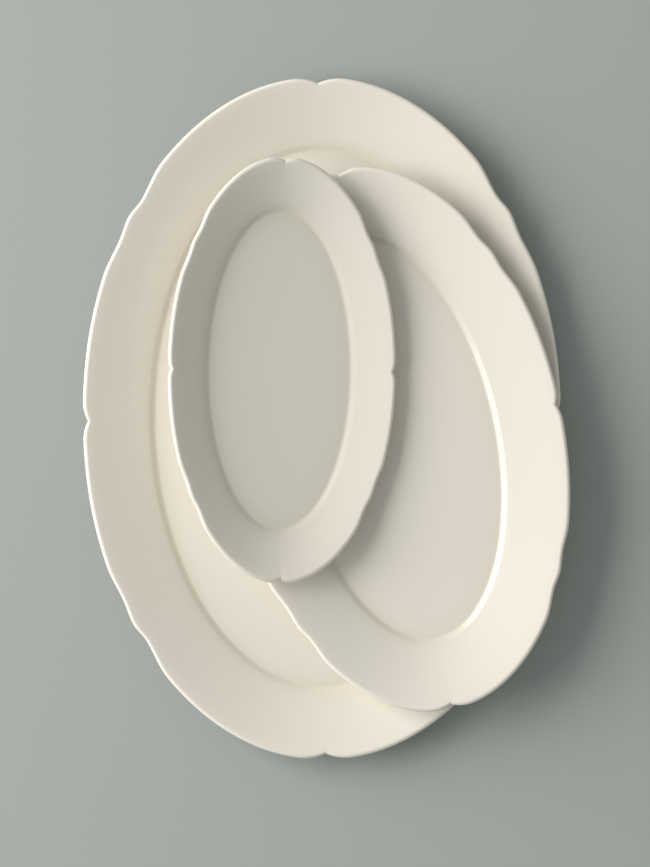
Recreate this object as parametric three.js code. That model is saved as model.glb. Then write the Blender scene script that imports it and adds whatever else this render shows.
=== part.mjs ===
import * as THREE from 'three';

// A nesting set of three oval serving platters in white glazed china, stacked off centre.
// Millimetres, +Z up, +Y along the largest platter. Each platter is one fired piece, and the
// upper two only rest on what lies below them, so their tilt is worked out from the shapes.

// The outline is a plain oval with a V notch at the end of each axis and, on each diagonal,
// a rounded nose between two dips. Its angles run round the oval from the long axis.
const outlineAngles = {
  swellStart: 18,
  dipStart: 41,
  deepDip: 49.3,
  nose: 53.4,
  shallowDip: 57.8,
  dipEnd: 65,
  swellEnd: 72,
};

// Driving dimensions. Length and width are those of the plain oval. The rim is the sloping
// band, the wall the short steeper step down to the well floor, and the foot the ring beneath,
// set in from the edge of the floor. The notches and dips are how far the rim is cut back.
const largePlatter = {
  name: 'large_platter',
  length: 408.8,
  width: 286.4,
  rimAtEnds: 39.5,
  rimAtSides: 39,
  rimRise: 11.9,
  wallRun: 3.3,
  wallRise: 1.8,
  thickness: 4.2,
  footHeight: 3,
  footWidth: 3.5,
  footInset: 3,
  endNotch: 3.4,
  endNotchHalfWidth: 17,
  sideNotch: 2.9,
  sideNotchHalfWidth: 12,
  deepDip: 2.2,
  noseDip: 0.3,
  shallowDip: 1.3,
  swell: 0.4,
  place: [0, 0],
  turn: 0,
  color: 0xe9e6de,
};

const mediumPlatter = {
  name: 'medium_platter',
  length: 328,
  width: 200.6,
  rimAtEnds: 39.5,
  rimAtSides: 37.1,
  rimRise: 12.2,
  wallRun: 3.3,
  wallRise: 1.9,
  thickness: 4,
  footHeight: 2.8,
  footWidth: 3.2,
  footInset: 2.5,
  endNotch: 3,
  endNotchHalfWidth: 14,
  sideNotch: 2.2,
  sideNotchHalfWidth: 10,
  deepDip: 1.7,
  noseDip: 0.7,
  shallowDip: 1.4,
  swell: 0.3,
  place: [43.1, -12.8],
  turn: 11.25,
  color: 0xe9e6de,
};

const smallPlatter = {
  name: 'small_platter',
  length: 251.8,
  width: 137.2,
  rimAtEnds: 28.5,
  rimAtSides: 22.2,
  rimRise: 10,
  wallRun: 3.4,
  wallRise: 2.1,
  thickness: 3.6,
  footHeight: 2.5,
  footWidth: 3,
  footInset: 1,
  endNotch: 2,
  endNotchHalfWidth: 10,
  sideNotch: 1.6,
  sideNotchHalfWidth: 7,
  deepDip: 1.1,
  noseDip: 0.5,
  shallowDip: 0.8,
  swell: 0.2,
  place: [-22.6, 28.5],
  turn: -1.3,
  color: 0xe9e6de,
};

const restGap = 0.4; // height left clear where one platter rests on another
const notchReach = 14; // how far the notches fade into the rim
const coveRadius = 4; // where the well floor turns up into the wall
const shoulderRadius = 5; // where the wall turns over into the rim
const curveSteps = 2; // straight pieces in each rounded corner of the section
const lipSteps = 3; // straight pieces in each half of the lip
const quadrantSteps = [5, 2, 2, 2, 2, 2, 1, 4]; // straight pieces between the outline's angles

// How the resting tilt is searched for, in degrees and millimetres.
const widestTilt = 18;
const tiltSteps = 17;
const goldenShare = (Math.sqrt(5) - 1) / 2;
const stackLift = 20; // first guess of the height that each platter adds
const lowerPasses = 4;
const ringTolerance = 0.002;
const balanceShare = 0.4; // height of a platter's centre of mass as a share of its lip's height

const radians = THREE.MathUtils.degToRad;

// The sizes that follow from a platter's driving dimensions. Section points are given as the
// half width of the oval ring that they lie on, and a height above the table.
function sectionSizes(platter) {
  const halfWidth = platter.width / 2;
  const shoulder = halfWidth - platter.rimAtSides;
  const floorEdge = shoulder - platter.wallRun;
  const floorHeight = platter.footHeight + platter.thickness;
  return {
    halfWidth,
    shoulder,
    floorEdge,
    floorHeight,
    shoulderHeight: floorHeight + platter.wallRise,
    footEdge: floorEdge - platter.footInset,
    rimSlope: Math.atan2(platter.rimRise, platter.rimAtSides),
    wallSlope: Math.atan2(platter.wallRise, platter.wallRun),
  };
}

// Half the length of the oval ring whose half width is given. From the foot's inner edge to
// the shoulder the rings keep the same distance apart all the way round.
function ringHalfLength(platter, halfWidth) {
  const sizes = sectionSizes(platter);
  const shoulderHalfLength = platter.length / 2 - platter.rimAtEnds;
  if (halfWidth > sizes.shoulder) {
    const shareOfRim = (halfWidth - sizes.shoulder) / platter.rimAtSides;
    return shoulderHalfLength + shareOfRim * platter.rimAtEnds;
  }
  const footInside = sizes.footEdge - platter.footWidth;
  const endExcess = shoulderHalfLength - sizes.shoulder;
  return halfWidth + endExcess * Math.min(1, halfWidth / footInside);
}

// The corner of a line that runs at a set depth under two sloping lines that meet at a point.
function cornerBelow(x, y, slopeIn, slopeOut, depth) {
  const middle = (slopeIn + slopeOut) / 2;
  const reach = depth / Math.cos((slopeIn - slopeOut) / 2);
  return [x + reach * Math.sin(middle), y - reach * Math.cos(middle)];
}

// A rounded corner as a quadratic curve that starts and ends on the two lines that meet there.
function roundCorner(path, x, y, slopeIn, slopeOut, radius) {
  const run = radius * Math.tan(Math.abs(slopeOut - slopeIn) / 2);
  path.lineTo(x - run * Math.cos(slopeIn), y - run * Math.sin(slopeIn));
  path.quadraticCurveTo(x, y, x + run * Math.cos(slopeOut), y + run * Math.sin(slopeOut));
}

// The rounded lip at the outer edge of the rim.
function lipCircle(platter) {
  const { halfWidth, shoulder, shoulderHeight, rimSlope } = sectionSizes(platter);
  const radius = platter.thickness / 2;
  const x = halfWidth - radius;
  const topStart = x - radius * Math.sin(rimSlope);
  const topHeight = shoulderHeight + (topStart - shoulder) * Math.tan(rimSlope);
  return { x, y: topHeight - radius * Math.cos(rimSlope), radius };
}

// Points round the lip, from an angle on it to its outermost point.
function lipArc(platter, startAngle) {
  const { x, y, radius } = lipCircle(platter);
  const arc = new THREE.EllipseCurve(x, y, radius, radius, startAngle, 0, startAngle > 0);
  return arc.getPoints(lipSteps);
}

// The upper side of the section, from the middle of the well to the outermost point.
function upperSide(platter) {
  const { halfWidth, shoulder, floorEdge, floorHeight, shoulderHeight, rimSlope, wallSlope } =
    sectionSizes(platter);
  const path = new THREE.Path();
  path.moveTo(0, floorHeight);
  roundCorner(path, floorEdge, floorHeight, 0, wallSlope, coveRadius);
  roundCorner(path, shoulder, shoulderHeight, wallSlope, rimSlope, shoulderRadius);
  const fadeStart = halfWidth - notchReach;
  path.lineTo(fadeStart, shoulderHeight + (fadeStart - shoulder) * Math.tan(rimSlope));
  return [...path.getPoints(curveSteps), ...lipArc(platter, rimSlope + Math.PI / 2)];
}

// The underside of the section, from the middle of the base to the outermost point.
function underSide(platter) {
  const { halfWidth, shoulder, floorEdge, floorHeight, shoulderHeight, footEdge, rimSlope, wallSlope } =
    sectionSizes(platter);
  const { thickness, footHeight, footWidth } = platter;
  const arc = lipArc(platter, rimSlope - Math.PI / 2);
  const fadeStart = halfWidth - notchReach;
  const path = new THREE.Path();
  path.moveTo(0, footHeight);
  path.lineTo(footEdge - footWidth, footHeight);
  path.lineTo(footEdge - footWidth, 0);
  path.lineTo(footEdge, 0);
  path.lineTo(footEdge, footHeight);
  path.lineTo(...cornerBelow(floorEdge, floorHeight, 0, wallSlope, thickness));
  path.lineTo(...cornerBelow(shoulder, shoulderHeight, wallSlope, rimSlope, thickness));
  path.lineTo(fadeStart, arc[0].y - (arc[0].x - fadeStart) * Math.tan(rimSlope));
  return [...path.getPoints(), ...arc];
}

// The angles, in radians from the long axis, that one turn of the outline is drawn with. They
// lie closer together towards the V notches at the ends of the axes.
function turnAngles() {
  const stops = [0, ...Object.values(outlineAngles), 90];
  const quadrant = quadrantSteps.flatMap((count, index) => {
    const shares = Array.from({ length: count }, (unused, step) => step / count);
    return shares.map((share) => {
      let eased = share;
      if (index === 0) eased = share ** 2;
      if (index === quadrantSteps.length - 1) eased = 1 - (1 - share) ** 2;
      return radians(THREE.MathUtils.lerp(stops[index], stops[index + 1], eased));
    });
  });
  const mirrored = quadrant.slice(1).reverse().map((angle) => Math.PI - angle);
  const half = [...quadrant, Math.PI / 2, ...mirrored];
  return [...half, ...half.map((angle) => angle + Math.PI)];
}

// How far the outline stands out from the plain oval, or in where negative: smooth steps
// between the outline's angles, less the V notches at the ends of the axes.
function outlineOffset(platter, angle, x, y) {
  const { swell, deepDip, noseDip, shallowDip } = platter;
  const fromLongAxis = THREE.MathUtils.radToDeg(Math.acos(Math.abs(Math.cos(angle))));
  const stops = [0, ...Object.values(outlineAngles), 90];
  const offsets = [0, swell, swell, -deepDip, -noseDip, -shallowDip, swell, swell, 0];
  const next = Math.max(1, stops.findIndex((stop) => stop >= fromLongAxis));
  const share = THREE.MathUtils.smoothstep(fromLongAxis, stops[next - 1], stops[next]);
  const smooth = THREE.MathUtils.lerp(offsets[next - 1], offsets[next], share);
  const nearEnd = Math.max(0, 1 - Math.abs(x) / platter.endNotchHalfWidth);
  const nearSide = Math.max(0, 1 - Math.abs(y) / platter.sideNotchHalfWidth);
  return smooth - platter.endNotch * nearEnd ** 2 - platter.sideNotch * nearSide ** 2;
}

// A point of the surface: the section point carried round its oval ring, with the outline's
// notches sunk into the outer part of the rim along the slope of the rim.
function surfacePoint(platter, sectionPoint, angle) {
  const { halfWidth, rimSlope } = sectionSizes(platter);
  const halfLength = ringHalfLength(platter, sectionPoint.x);
  const point = new THREE.Vector3();
  point.set(sectionPoint.x * Math.sin(angle), halfLength * Math.cos(angle), sectionPoint.y);
  const fade = 1 - (halfWidth - sectionPoint.x) / notchReach;
  if (fade > 0) {
    const offset = fade * outlineOffset(platter, angle, point.x, point.y);
    const outward = new THREE.Vector3(point.x / sectionPoint.x ** 2, point.y / halfLength ** 2, 0);
    point.addScaledVector(outward.normalize(), offset);
    point.z += offset * Math.tan(rimSlope);
  }
  return point;
}

// One platter as a lathed section whose round rings are drawn out to ovals.
function platterGeometry(platter) {
  const section = [...upperSide(platter), ...underSide(platter).reverse().slice(1)];
  const angles = turnAngles();
  const geometry = new THREE.LatheGeometry(section, angles.length);
  for (let turn = 0; turn <= angles.length; turn += 1) {
    section.forEach((sectionPoint, index) => {
      const point = surfacePoint(platter, sectionPoint, angles[turn % angles.length]);
      geometry.attributes.position.setXYZ(turn * section.length + index, ...point);
    });
  }
  geometry.computeVertexNormals();
  return geometry;
}

// The height of one side of the section over a point of the plan, or null outside the oval.
function heightAt(platter, side, x, y) {
  let inner = 0;
  let outer = platter.width / 2;
  const isOutside = (halfWidth) => Math.hypot(x / halfWidth, y / ringHalfLength(platter, halfWidth)) > 1;
  if (isOutside(outer)) return null;
  while (outer - inner > ringTolerance) {
    const middle = (inner + outer) / 2;
    if (isOutside(middle)) inner = middle;
    else outer = middle;
  }
  const next = Math.max(1, side.findIndex((point) => point.x >= outer));
  const share = (outer - side[next - 1].x) / (side[next].x - side[next - 1].x);
  return THREE.MathUtils.lerp(side[next - 1].y, side[next].y, share);
}

// A platter's place: the middle of its lip stays over its named place as it tilts and rises.
function poseMatrix(platter, tilt, height) {
  const matrix = new THREE.Matrix4();
  matrix.makeRotationFromEuler(new THREE.Euler(tilt.x, tilt.y, radians(platter.turn)));
  const lipMiddle = new THREE.Vector3(0, 0, lipCircle(platter).y).applyMatrix4(matrix);
  return matrix.setPosition(platter.place[0] - lipMiddle.x, platter.place[1] - lipMiddle.y, height);
}

// The least height between two platters in each other's frames, over the points of both.
function leastGap(upper, lower) {
  const toLower = lower.matrix.clone().invert().multiply(upper.matrix);
  const toUpper = toLower.clone().invert();
  let least = Infinity;
  for (const point of upper.underPoints) {
    const moved = point.clone().applyMatrix4(toLower);
    const height = heightAt(lower.platter, lower.upperSide, moved.x, moved.y);
    if (height !== null) least = Math.min(least, moved.z - height);
  }
  for (const point of lower.upperPoints) {
    const moved = point.clone().applyMatrix4(toUpper);
    const height = heightAt(upper.platter, upper.underSide, moved.x, moved.y);
    if (height !== null) least = Math.min(least, height - moved.z);
  }
  return least;
}

// A platter with what is needed to rest it on others: both sides of its section, and points
// all over both of its faces.
function restingPiece(platter) {
  const sides = { upperSide: upperSide(platter), underSide: underSide(platter) };
  const angles = turnAngles();
  const ring = (point) => angles.map((angle) => surfacePoint(platter, point, angle));
  return {
    platter,
    ...sides,
    upperPoints: sides.upperSide.flatMap(ring),
    underPoints: sides.underSide.flatMap(ring),
    matrix: new THREE.Matrix4(),
  };
}

// Lowers a piece at one tilt until it rests on those below, and gives its balance height.
function restAt(piece, tilt, below) {
  let height = below.length * stackLift;
  for (let pass = 0; pass < lowerPasses; pass += 1) {
    piece.matrix = poseMatrix(piece.platter, tilt, height);
    height += restGap - Math.min(...below.map((other) => leastGap(piece, other)));
  }
  piece.matrix = poseMatrix(piece.platter, tilt, height);
  return new THREE.Vector3(0, 0, balanceShare * lipCircle(piece.platter).y).applyMatrix4(piece.matrix).z;
}

// The tilt within the widest at which a height is least, found by golden section.
function lowestTilt(heightOf) {
  let start = radians(-widestTilt);
  let end = radians(widestTilt);
  let near = { tilt: end - goldenShare * (end - start) };
  let far = { tilt: start + goldenShare * (end - start) };
  near.height = heightOf(near.tilt);
  far.height = heightOf(far.tilt);
  for (let step = 0; step < tiltSteps; step += 1) {
    if (near.height < far.height) {
      end = far.tilt;
      far = near;
      near = { tilt: end - goldenShare * (end - start) };
      near.height = heightOf(near.tilt);
    } else {
      start = near.tilt;
      near = far;
      far = { tilt: start + goldenShare * (end - start) };
      far.height = heightOf(far.tilt);
    }
  }
  return (start + end) / 2;
}

// Settles a piece at the tilt where it lies lowest, as it comes to rest by itself: for every
// tilt to the side it takes the lowest of the tilts along the platter.
function settle(piece, below) {
  const restTilted = (alongTilt, sideTilt) => {
    return restAt(piece, new THREE.Vector2(alongTilt, sideTilt), below);
  };
  const bestAlong = (sideTilt) => lowestTilt((alongTilt) => restTilted(alongTilt, sideTilt));
  const sideTilt = lowestTilt((tilt) => restTilted(bestAlong(tilt), tilt));
  restTilted(bestAlong(sideTilt), sideTilt);
}

const group = new THREE.Group();
const stack = [];
for (const platter of [largePlatter, mediumPlatter, smallPlatter]) {
  const piece = restingPiece(platter);
  if (stack.length > 0) settle(piece, stack);
  stack.push(piece);
  const glaze = new THREE.MeshStandardMaterial({ color: platter.color, roughness: 0.22, metalness: 0 });
  const mesh = new THREE.Mesh(platterGeometry(platter), glaze);
  mesh.name = platter.name;
  mesh.applyMatrix4(piece.matrix);
  group.add(mesh);
}

// The origin is the middle of the underside of the whole stack's box.
const box = new THREE.Box3().setFromObject(group, true);
const middle = box.getCenter(new THREE.Vector3());
group.position.set(-middle.x, -middle.y, -box.min.z);

export default group;
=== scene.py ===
import math

import bpy
import numpy as np
from mathutils import Euler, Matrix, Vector


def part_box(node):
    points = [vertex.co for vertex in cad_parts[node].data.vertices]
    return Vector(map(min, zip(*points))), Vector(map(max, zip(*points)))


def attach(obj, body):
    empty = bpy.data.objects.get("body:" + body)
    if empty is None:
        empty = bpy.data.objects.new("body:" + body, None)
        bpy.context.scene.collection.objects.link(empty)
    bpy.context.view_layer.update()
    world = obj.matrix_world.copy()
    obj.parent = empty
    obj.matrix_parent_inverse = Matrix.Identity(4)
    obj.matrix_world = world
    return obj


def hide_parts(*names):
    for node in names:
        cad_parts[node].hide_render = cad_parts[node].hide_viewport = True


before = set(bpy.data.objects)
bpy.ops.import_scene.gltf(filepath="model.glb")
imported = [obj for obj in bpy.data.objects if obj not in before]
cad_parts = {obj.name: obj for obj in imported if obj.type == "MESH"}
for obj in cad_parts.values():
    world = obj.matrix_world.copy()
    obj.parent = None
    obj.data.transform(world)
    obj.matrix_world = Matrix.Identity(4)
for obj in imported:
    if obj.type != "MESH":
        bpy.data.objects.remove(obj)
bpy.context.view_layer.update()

# A nesting set of three oval serving platters in white glazed china. Shapes are in
# millimetres and meshes in metres, and each platter lies where its solid in the frame lies.
mm = 0.001


# The outline is a plain oval, notched at the end of each axis, with a nose between two dips
# on each diagonal. Angles are in degrees from the long axis.
outline = {
    "swellStart": 18,
    "dipStart": 41,
    "deepDip": 49.3,
    "nose": 53.4,
    "shallowDip": 57.8,
    "dipEnd": 65,
    "swellEnd": 72,
    "notchReach": 14,  # how far a notch fades into the rim
    "columnsPerQuarter": 180,
    "crowding": 0.7,  # how much closer the columns stand at the ends of the axes
}

# The rounding of the section's corners, and how finely it is divided.
section = {
    "coveRadius": 4,  # where the well floor turns up into the wall
    "shoulderRadius": 5,  # where the wall turns over into the rim
    "footRadius": 0.8,  # the worn edges of the foot ring
    "footCove": 1,  # glaze run together beside the foot ring
    "underRadius": 4,  # the soft bend under the wall
    "flatStep": 5,  # spacing of points along straight stretches
    "arcStep": 9,  # degrees between points round a bend
    "lipPoints": 15,
}


# A bent line whose corners are rounded: at each corner an arc of the given radius touches
# both straight stretches, and long stretches are divided evenly.
def roundedLine(corners):
    points = [np.array(corners[0][:2], float)]
    for before, corner, after in zip(corners, corners[1:], corners[2:]):
        here = np.array(corner[:2], float)
        inward = here - np.array(before[:2])
        outward = np.array(after[:2]) - here
        inward /= np.hypot(*inward)
        outward /= np.hypot(*outward)
        turn = math.atan2(inward[0] * outward[1] - inward[1] * outward[0], inward @ outward)
        run = corner[2] * math.tan(abs(turn) / 2)
        count = max(1, math.ceil(math.degrees(abs(turn)) / section["arcStep"]))
        angles = turn * np.arange(count + 1) / count
        side = math.copysign(1, turn)
        start = here - inward * run
        normal = np.array([-inward[1], inward[0]]) * side
        along = np.sin(angles * side)[:, None] * inward
        across = (1 - np.cos(angles))[:, None] * normal
        points.extend(start + corner[2] * (along + across))
    points.append(np.array(corners[-1][:2], float))
    line = [points[0]]
    for end in points[1:]:
        count = max(1, round(np.hypot(*(end - line[-1])) / section["flatStep"]))
        start = line[-1]
        line.extend(start + (end - start) * step / count for step in range(1, count + 1))
    return np.array(line)


# The corner of a line that runs at a set depth under two sloping lines meeting at a point.
def cornerBelow(x, height, slopeIn, slopeOut, depth):
    middle = (slopeIn + slopeOut) / 2
    reach = depth / math.cos((slopeIn - slopeOut) / 2)
    return x + reach * math.sin(middle), height - reach * math.cos(middle)


# The heights and widths that follow from a platter's own sizes.
def workOut(platter):
    halfWidth = platter["width"] / 2
    shoulder = halfWidth - platter["rimAtSides"]
    floorEdge = shoulder - platter["wallRun"]
    floorHeight = platter["footHeight"] + platter["thickness"]
    rimSlope = math.atan2(platter["rimRise"], platter["rimAtSides"])
    lipRadius = platter["thickness"] / 2
    lipX = halfWidth - lipRadius
    topStart = lipX - lipRadius * math.sin(rimSlope)
    shoulderHeight = floorHeight + platter["wallRise"]
    lipTop = shoulderHeight + (topStart - shoulder) * math.tan(rimSlope)
    return {
        "halfWidth": halfWidth,
        "shoulder": shoulder,
        "floorEdge": floorEdge,
        "floorHeight": floorHeight,
        "shoulderHeight": shoulderHeight,
        "footEdge": floorEdge - platter["footInset"],
        "rimSlope": rimSlope,
        "wallSlope": math.atan2(platter["wallRise"], platter["wallRun"]),
        "lipRadius": lipRadius,
        "lipX": lipX,
        "lipHeight": lipTop - lipRadius * math.cos(rimSlope),
    }


# The whole section as half widths and heights, from the middle of the well out along the
# floor, wall and rim, round the lip, and back along the underside and over the foot ring.
def sectionLine(platter):
    at = workOut(platter)
    depth = platter["thickness"]
    lipAngles = np.linspace(math.pi / 2, -math.pi / 2, section["lipPoints"]) + at["rimSlope"]
    lip = np.column_stack([
        at["lipX"] + at["lipRadius"] * np.cos(lipAngles),
        at["lipHeight"] + at["lipRadius"] * np.sin(lipAngles),
    ])
    upper = roundedLine([
        (0, at["floorHeight"], 0),
        (at["floorEdge"], at["floorHeight"], section["coveRadius"]),
        (at["shoulder"], at["shoulderHeight"], section["shoulderRadius"]),
        (*lip[0], 0),
    ])
    footInside = at["footEdge"] - platter["footWidth"]
    wallBelow = cornerBelow(at["floorEdge"], at["floorHeight"], 0, at["wallSlope"], depth)
    rimBelow = cornerBelow(
        at["shoulder"], at["shoulderHeight"], at["wallSlope"], at["rimSlope"], depth
    )
    under = roundedLine([
        (*lip[-1], 0),
        (*rimBelow, section["underRadius"]),
        (*wallBelow, section["underRadius"]),
        (at["footEdge"], platter["footHeight"], section["footCove"]),
        (at["footEdge"], 0, section["footRadius"]),
        (footInside, 0, section["footRadius"]),
        (footInside, platter["footHeight"], section["footCove"]),
        (0, platter["footHeight"], 0),
    ])
    return np.vstack([upper[:-1], lip, under[1:]])


# Half the length of the oval ring of a given half width. From the foot to the shoulder the
# rings keep the same distance apart all the way round, and over the rim they spread evenly.
def ringHalfLength(platter, halfWidth):
    at = workOut(platter)
    shoulderLength = platter["length"] / 2 - platter["rimAtEnds"]
    share = (halfWidth - at["shoulder"]) / platter["rimAtSides"]
    onRim = shoulderLength + share * platter["rimAtEnds"]
    footInside = at["footEdge"] - platter["footWidth"]
    excess = shoulderLength - at["shoulder"]
    inside = halfWidth + excess * np.minimum(1, halfWidth / footInside)
    return np.where(halfWidth > at["shoulder"], onRim, inside)


# How far the outline stands out from the oval: smooth steps between the outline's angles,
# less the square of the nearness to each V notch.
def outlineOffset(platter, angle, x, y):
    names = ["swellStart", "dipStart", "deepDip", "nose", "shallowDip", "dipEnd", "swellEnd"]
    stops = np.array([0, *[outline[name] for name in names], 90], float)
    swell, nose = platter["swell"], platter["noseDip"]
    dips = [-platter["deepDip"], -nose, -platter["shallowDip"]]
    offsets = np.array([0, swell, swell, *dips, swell, swell, 0])
    fromLongAxis = np.degrees(np.arccos(np.abs(np.cos(angle))))
    after = np.clip(np.searchsorted(stops, fromLongAxis), 1, len(stops) - 1)
    share = (fromLongAxis - stops[after - 1]) / (stops[after] - stops[after - 1])
    share = share * share * (3 - 2 * share)
    smooth = offsets[after - 1] + (offsets[after] - offsets[after - 1]) * share
    nearEnd = np.maximum(0, 1 - np.abs(x) / platter["endNotchHalfWidth"])
    nearSide = np.maximum(0, 1 - np.abs(y) / platter["sideNotchHalfWidth"])
    return smooth - platter["endNotch"] * nearEnd ** 2 - platter["sideNotch"] * nearSide ** 2


# The surface in the platter's own axes: the section carried round its oval rings, where
# x = half width * sin(angle) and y = half length * cos(angle), with the outline's notches
# sunk into the outer rim along its slope.
def platterSurface(platter):
    at = workOut(platter)
    line = sectionLine(platter)[1:-1]
    quarter = np.arange(outline["columnsPerQuarter"]) / outline["columnsPerQuarter"]
    quarter = quarter - outline["crowding"] * np.sin(2 * np.pi * quarter) / (2 * np.pi)
    angle = (np.arange(4)[:, None] + quarter).ravel() * np.pi / 2
    halfWidth = line[:, 0][:, None]
    halfLength = ringHalfLength(platter, halfWidth)
    x = halfWidth * np.sin(angle)
    y = halfLength * np.cos(angle)
    outX, outY = x / halfWidth ** 2, y / halfLength ** 2
    size = np.hypot(outX, outY)
    fade = np.clip(1 - (at["halfWidth"] - halfWidth) / outline["notchReach"], 0, 1)
    offset = fade * outlineOffset(platter, angle[None, :], x, y)
    z = line[:, 1][:, None] + offset * math.tan(at["rimSlope"])
    return x + offset * outX / size, y + offset * outY / size, z


# Where a platter lies: its middle on the foot, and its width, length and upward directions.
# It is alike on both sides of both its axes, so these are the main spreads of its surface.
def restingPlace(nodeName):
    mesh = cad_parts[nodeName].data
    places = np.empty(len(mesh.vertices) * 3)
    mesh.vertices.foreach_get("co", places)
    places = places.reshape(-1, 3)
    mesh.calc_loop_triangles()
    corners = np.empty(len(mesh.loop_triangles) * 3, int)
    mesh.loop_triangles.foreach_get("vertices", corners)
    triangles = places[corners.reshape(-1, 3)]
    sides = triangles[:, 1:] - triangles[:, :1]
    areas = np.linalg.norm(np.cross(sides[:, 0], sides[:, 1]), axis=1)
    centres = triangles.mean(1)
    middle = areas @ centres / areas.sum()
    points = np.concatenate([(triangles - middle).reshape(-1, 3), 3 * (centres - middle)])
    weights = np.concatenate([np.repeat(areas, 3), areas])
    up, across, along = np.linalg.eigh((points * weights[:, None]).T @ points)[1].T
    up = up * np.sign(up[2])
    along = along * np.sign(along[1])
    across = np.cross(along, up)
    foot = middle + up * ((places @ up).min() - middle @ up)
    return foot, np.array([across, along, up])


glaze = {
    "coveSpread": 5,  # how far from the cove and from the foot the glaze lies pooled
    "footSpread": 4,
    "footMiddle": 1,  # height of the foot's pool
    "lipSpread": 2,  # how far in from the lip the glaze lies thin
    "bareBelow": 1.1,  # height up to which the foot ring was wiped clean
    "bareFade": 0.4,
}


# Shares from 0 to 1 along the section that the glaze follows: pooled in the cove and beside
# the foot and thin on the lip, each as exp(-(distance / spread) squared), and wiped off the
# foot ring's standing face.
def glazeShares(platter):
    at = workOut(platter)
    line = sectionLine(platter)[1:-1]
    halfWidth, height = line.T
    onTop = np.arange(len(line)) < np.argmax(halfWidth)
    fromCove = (halfWidth - at["floorEdge"]) / glaze["coveSpread"]
    footMiddle = at["footEdge"] - platter["footWidth"] / 2
    fromFoot = np.hypot(halfWidth - footMiddle, height - glaze["footMiddle"]) / glaze["footSpread"]
    pool = np.where(onTop, np.exp(-fromCove ** 2), np.exp(-fromFoot ** 2))
    thin = np.exp(-(((at["halfWidth"] - halfWidth) / glaze["lipSpread"]) ** 2))
    bare = np.where(onTop, 0, np.clip((glaze["bareBelow"] - height) / glaze["bareFade"], 0, 1))
    return {"glazePool": pool, "thinGlaze": thin, "bareFoot": bare}


# A closed platter: quads between the rings, and a fan to the middle of each face.
def makePlatter(platter):
    x, y, z = platterSurface(platter)
    rings, columns = x.shape
    profile = sectionLine(platter)
    grid = np.stack([x, y, z], axis=2).reshape(-1, 3)
    poles = np.array([[0, 0, profile[0, 1]], [0, 0, profile[-1, 1]]])
    foot, axes = restingPlace(platter["node"])
    places = foot + np.vstack([grid, poles]) * mm @ axes
    index = np.arange(rings * columns).reshape(rings, columns)
    beside = np.roll(index, -1, axis=1)
    quads = np.stack([index[:-1], index[1:], beside[1:], beside[:-1]], axis=2).reshape(-1, 4)
    topFan = np.column_stack([np.full(columns, rings * columns), index[0], beside[0]])
    lowFan = np.column_stack([np.full(columns, rings * columns + 1), beside[-1], index[-1]])
    mesh = bpy.data.meshes.new(platter["name"])
    mesh.from_pydata(places.tolist(), [], quads.tolist() + topFan.tolist() + lowFan.tolist())
    mesh.polygons.foreach_set("use_smooth", np.ones(len(mesh.polygons), bool))
    for name, shares in glazeShares(platter).items():
        values = np.concatenate([np.repeat(shares, columns), shares[[0, -1]]])
        mesh.attributes.new(name, "FLOAT", "POINT").data.foreach_set("value", values)
    mesh.validate()
    mesh.materials.append(glazedChina)
    piece = bpy.data.objects.new(platter["name"], mesh)
    bpy.context.scene.collection.objects.link(piece)
    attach(piece, platter["body"])
    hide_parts(platter["node"])
    print(platter["name"], len(mesh.polygons), "faces")


# One hex colour, as screens show it, turned to the linear values that the shader takes.
def linear(hexColour):
    shown = [int(hexColour[start:start + 2], 16) / 255 for start in (1, 3, 5)]
    return [v / 12.92 if v <= 0.04045 else ((v + 0.055) / 1.055) ** 2.4 for v in shown] + [1]


# Adds a node: settings are its own properties, and each input takes a value or a link.
def addNode(tree, kind, settings, inputs):
    node = tree.nodes.new("ShaderNode" + kind)
    for name, value in settings.items():
        setattr(node, name, value)
    for name, value in inputs.items():
        if isinstance(value, bpy.types.NodeSocket):
            tree.links.new(value, node.inputs[name])
        else:
            node.inputs[name].default_value = value
    return node


# Glazed china: a white clay body under a clear, faintly ivory glaze, dipped and fired. The
# glaze gives a smooth wet gloss, is deeper where it pooled, and lies in very shallow ripples.
china = {
    "ivory": "#ece6dc",
    "cooler": "#e9e5dd",
    "pooled": "#e0dccd",
    "thin": "#f2eee4",
    "bareClay": "#dcd5c8",
    "cloudSize": 90 * mm,  # breadth of the slow change of tint
    "rippleSize": 7 * mm,  # glaze ripples; real ones are finer and don't show at this scale
    "rippleHeight": 0.012 * mm,
    "glazeRoughness": 0.2,
    "clayRoughness": 0.75,
    "poolShare": 0.6,  # how much of each tint shows where its share is full
    "thinShare": 0.7,
    "bareShare": 1,
    "refraction": 1.5,
    "coat": 0.25,
    "coatRoughness": 0.08,
}


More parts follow.
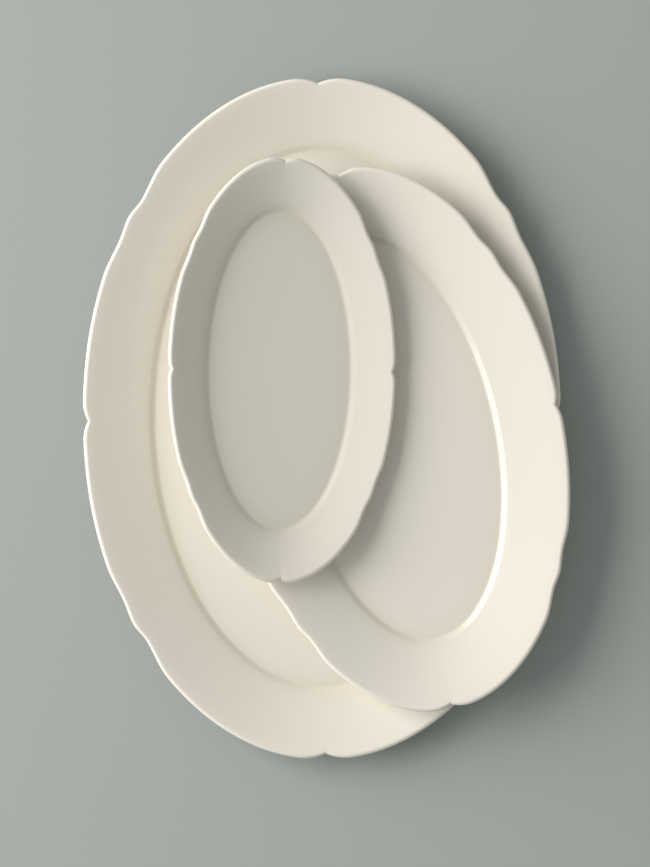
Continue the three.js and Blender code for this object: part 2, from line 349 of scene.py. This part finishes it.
def makeGlazedChina():
    material = bpy.data.materials.new("glazedChina")
    material.use_nodes = True
    tree = material.node_tree
    tree.nodes.clear()
    place = addNode(tree, "TexCoord", {}, {}).outputs["Object"]
    clouds = addNode(tree, "TexNoise", {}, {
        "Vector": place, "Scale": 1 / china["cloudSize"], "Detail": 2, "Roughness": 0.45,
    })
    tint = addNode(tree, "MixRGB", {}, {
        "Fac": clouds.outputs["Fac"], "Color1": linear(china["ivory"]),
        "Color2": linear(china["cooler"]),
    })
    for attribute, colour, most in (
        ("glazePool", "pooled", china["poolShare"]),
        ("thinGlaze", "thin", china["thinShare"]),
        ("bareFoot", "bareClay", china["bareShare"]),
    ):
        share = addNode(tree, "Attribute", {"attribute_name": attribute}, {})
        amount = addNode(tree, "Math", {"operation": "MULTIPLY"}, {
            0: share.outputs["Fac"], 1: most,
        })
        tint = addNode(tree, "MixRGB", {}, {
            "Fac": amount.outputs[0], "Color1": tint.outputs[0], "Color2": linear(china[colour]),
        })
    # share is now the last of the three, the bare foot's
    roughness = addNode(tree, "MapRange", {}, {
        "Value": share.outputs["Fac"], "To Min": china["glazeRoughness"],
        "To Max": china["clayRoughness"],
    })
    ripples = addNode(tree, "TexNoise", {}, {
        "Vector": place, "Scale": 1 / china["rippleSize"], "Detail": 1,
    })
    ripple = addNode(tree, "Bump", {}, {
        "Height": ripples.outputs["Fac"], "Distance": china["rippleHeight"], "Strength": 1,
    })
    shader = addNode(tree, "BsdfPrincipled", {}, {
        "Base Color": tint.outputs[0],
        "Roughness": roughness.outputs["Result"],
        "Normal": ripple.outputs["Normal"],
        "IOR": china["refraction"],
        "Coat Weight": china["coat"],
        "Coat Roughness": china["coatRoughness"],
    })
    addNode(tree, "OutputMaterial", {}, {"Surface": shader.outputs[0]})
    return material


glazedChina = makeGlazedChina()
print("glazed china ready")

# The three platters. Length and width are those of the plain oval, without notches or dips.
largePlatter = {
    "name": "largeServingPlatter",
    "node": "large_platter",
    "body": "large",
    "length": 408.8,
    "width": 286.4,
    "rimAtEnds": 39.5,
    "rimAtSides": 39,
    "rimRise": 11.9,
    "wallRun": 3.3,
    "wallRise": 1.8,
    "thickness": 4.2,
    "footHeight": 3,
    "footWidth": 3.5,
    "footInset": 3,
    "endNotch": 3.4,
    "endNotchHalfWidth": 17,
    "sideNotch": 2.9,
    "sideNotchHalfWidth": 12,
    "deepDip": 2.2,
    "noseDip": 0.3,
    "shallowDip": 1.3,
    "swell": 0.4,
}
makePlatter(largePlatter)

mediumPlatter = {
    "name": "mediumServingPlatter",
    "node": "medium_platter",
    "body": "medium",
    "length": 328,
    "width": 200.6,
    "rimAtEnds": 39.5,
    "rimAtSides": 37.1,
    "rimRise": 12.2,
    "wallRun": 3.3,
    "wallRise": 1.9,
    "thickness": 4,
    "footHeight": 2.8,
    "footWidth": 3.2,
    "footInset": 2.5,
    "endNotch": 3,
    "endNotchHalfWidth": 14,
    "sideNotch": 2.2,
    "sideNotchHalfWidth": 10,
    "deepDip": 1.7,
    "noseDip": 0.7,
    "shallowDip": 1.4,
    "swell": 0.3,
}
makePlatter(mediumPlatter)

smallPlatter = {
    "name": "smallServingPlatter",
    "node": "small_platter",
    "body": "small",
    "length": 251.8,
    "width": 137.2,
    "rimAtEnds": 28.5,
    "rimAtSides": 22.2,
    "rimRise": 10,
    "wallRun": 3.4,
    "wallRise": 2.1,
    "thickness": 3.6,
    "footHeight": 2.5,
    "footWidth": 3,
    "footInset": 1,
    "endNotch": 2,
    "endNotchHalfWidth": 10,
    "sideNotch": 1.6,
    "sideNotchHalfWidth": 7,
    "deepDip": 1.1,
    "noseDip": 0.5,
    "shallowDip": 0.8,
    "swell": 0.2,
}
makePlatter(smallPlatter)

# A plain pale floor, one large softbox low on one side, an even fill and an overhead camera.
studio = {
    "floorColour": "#a9b0ae",
    "floorRoughness": 0.9,
    "floorSize": 6,
    "floorDrop": 0.02 * mm,  # keeps the floor off the foot ring
    "cameraPlace": (-0.0003, -0.0091),
    "cameraAboveRim": 1.44,
    "cameraRoll": -0.68,
    "lens": 100,
    "sensor": 36,
    "softboxSize": 2.4,
    "softboxDistance": 2.6,
    "softboxElevation": 27,
    "softboxBearing": 167,  # degrees round from +X
    "softboxPower": 104,
    "softboxColour": "#fffbf6",
    "fillColour": "#f7faf4",
    "fillStrength": 0.39,
}


def makeFloor():
    mesh = bpy.data.meshes.new("studioFloor")
    half = studio["floorSize"] / 2
    corners = [(-half, -half, 0), (half, -half, 0), (half, half, 0), (-half, half, 0)]
    mesh.from_pydata(corners, [], [(0, 1, 2, 3)])
    material = bpy.data.materials.new("matteFloor")
    material.use_nodes = True
    shader = material.node_tree.nodes["Principled BSDF"]
    shader.inputs["Base Color"].default_value = linear(studio["floorColour"])
    shader.inputs["Roughness"].default_value = studio["floorRoughness"]
    mesh.materials.append(material)
    floor = bpy.data.objects.new("studioFloor", mesh)
    bpy.context.scene.collection.objects.link(floor)
    floor.location.z = -studio["floorDrop"]


def makeCamera():
    data = bpy.data.cameras.new("overheadCamera")
    data.lens = studio["lens"]
    data.sensor_width = studio["sensor"]
    camera = bpy.data.objects.new("overheadCamera", data)
    bpy.context.scene.collection.objects.link(camera)
    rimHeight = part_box("large_platter")[1].z
    camera.location = (*studio["cameraPlace"], rimHeight + studio["cameraAboveRim"])
    camera.rotation_euler = Euler((0, 0, math.radians(studio["cameraRoll"])))
    bpy.context.scene.camera = camera


def makeLights():
    elevation = math.radians(studio["softboxElevation"])
    bearing = math.radians(studio["softboxBearing"])
    direction = Vector((
        math.cos(elevation) * math.cos(bearing),
        math.cos(elevation) * math.sin(bearing),
        math.sin(elevation),
    ))
    data = bpy.data.lights.new("softbox", "AREA")
    data.size = studio["softboxSize"]
    data.energy = studio["softboxPower"]
    data.color = linear(studio["softboxColour"])[:3]
    softbox = bpy.data.objects.new("softbox", data)
    bpy.context.scene.collection.objects.link(softbox)
    softbox.location = direction * studio["softboxDistance"]
    softbox.rotation_euler = direction.to_track_quat("Z", "Y").to_euler()
    world = bpy.data.worlds.new("studio")
    bpy.context.scene.world = world
    world.use_nodes = True
    background = world.node_tree.nodes["Background"]
    background.inputs["Color"].default_value = linear(studio["fillColour"])
    background.inputs["Strength"].default_value = studio["fillStrength"]


makeFloor()
makeCamera()
makeLights()
bpy.context.scene.view_settings.view_transform = "Standard"
print("studio ready")

bpy.context.view_layer.update()
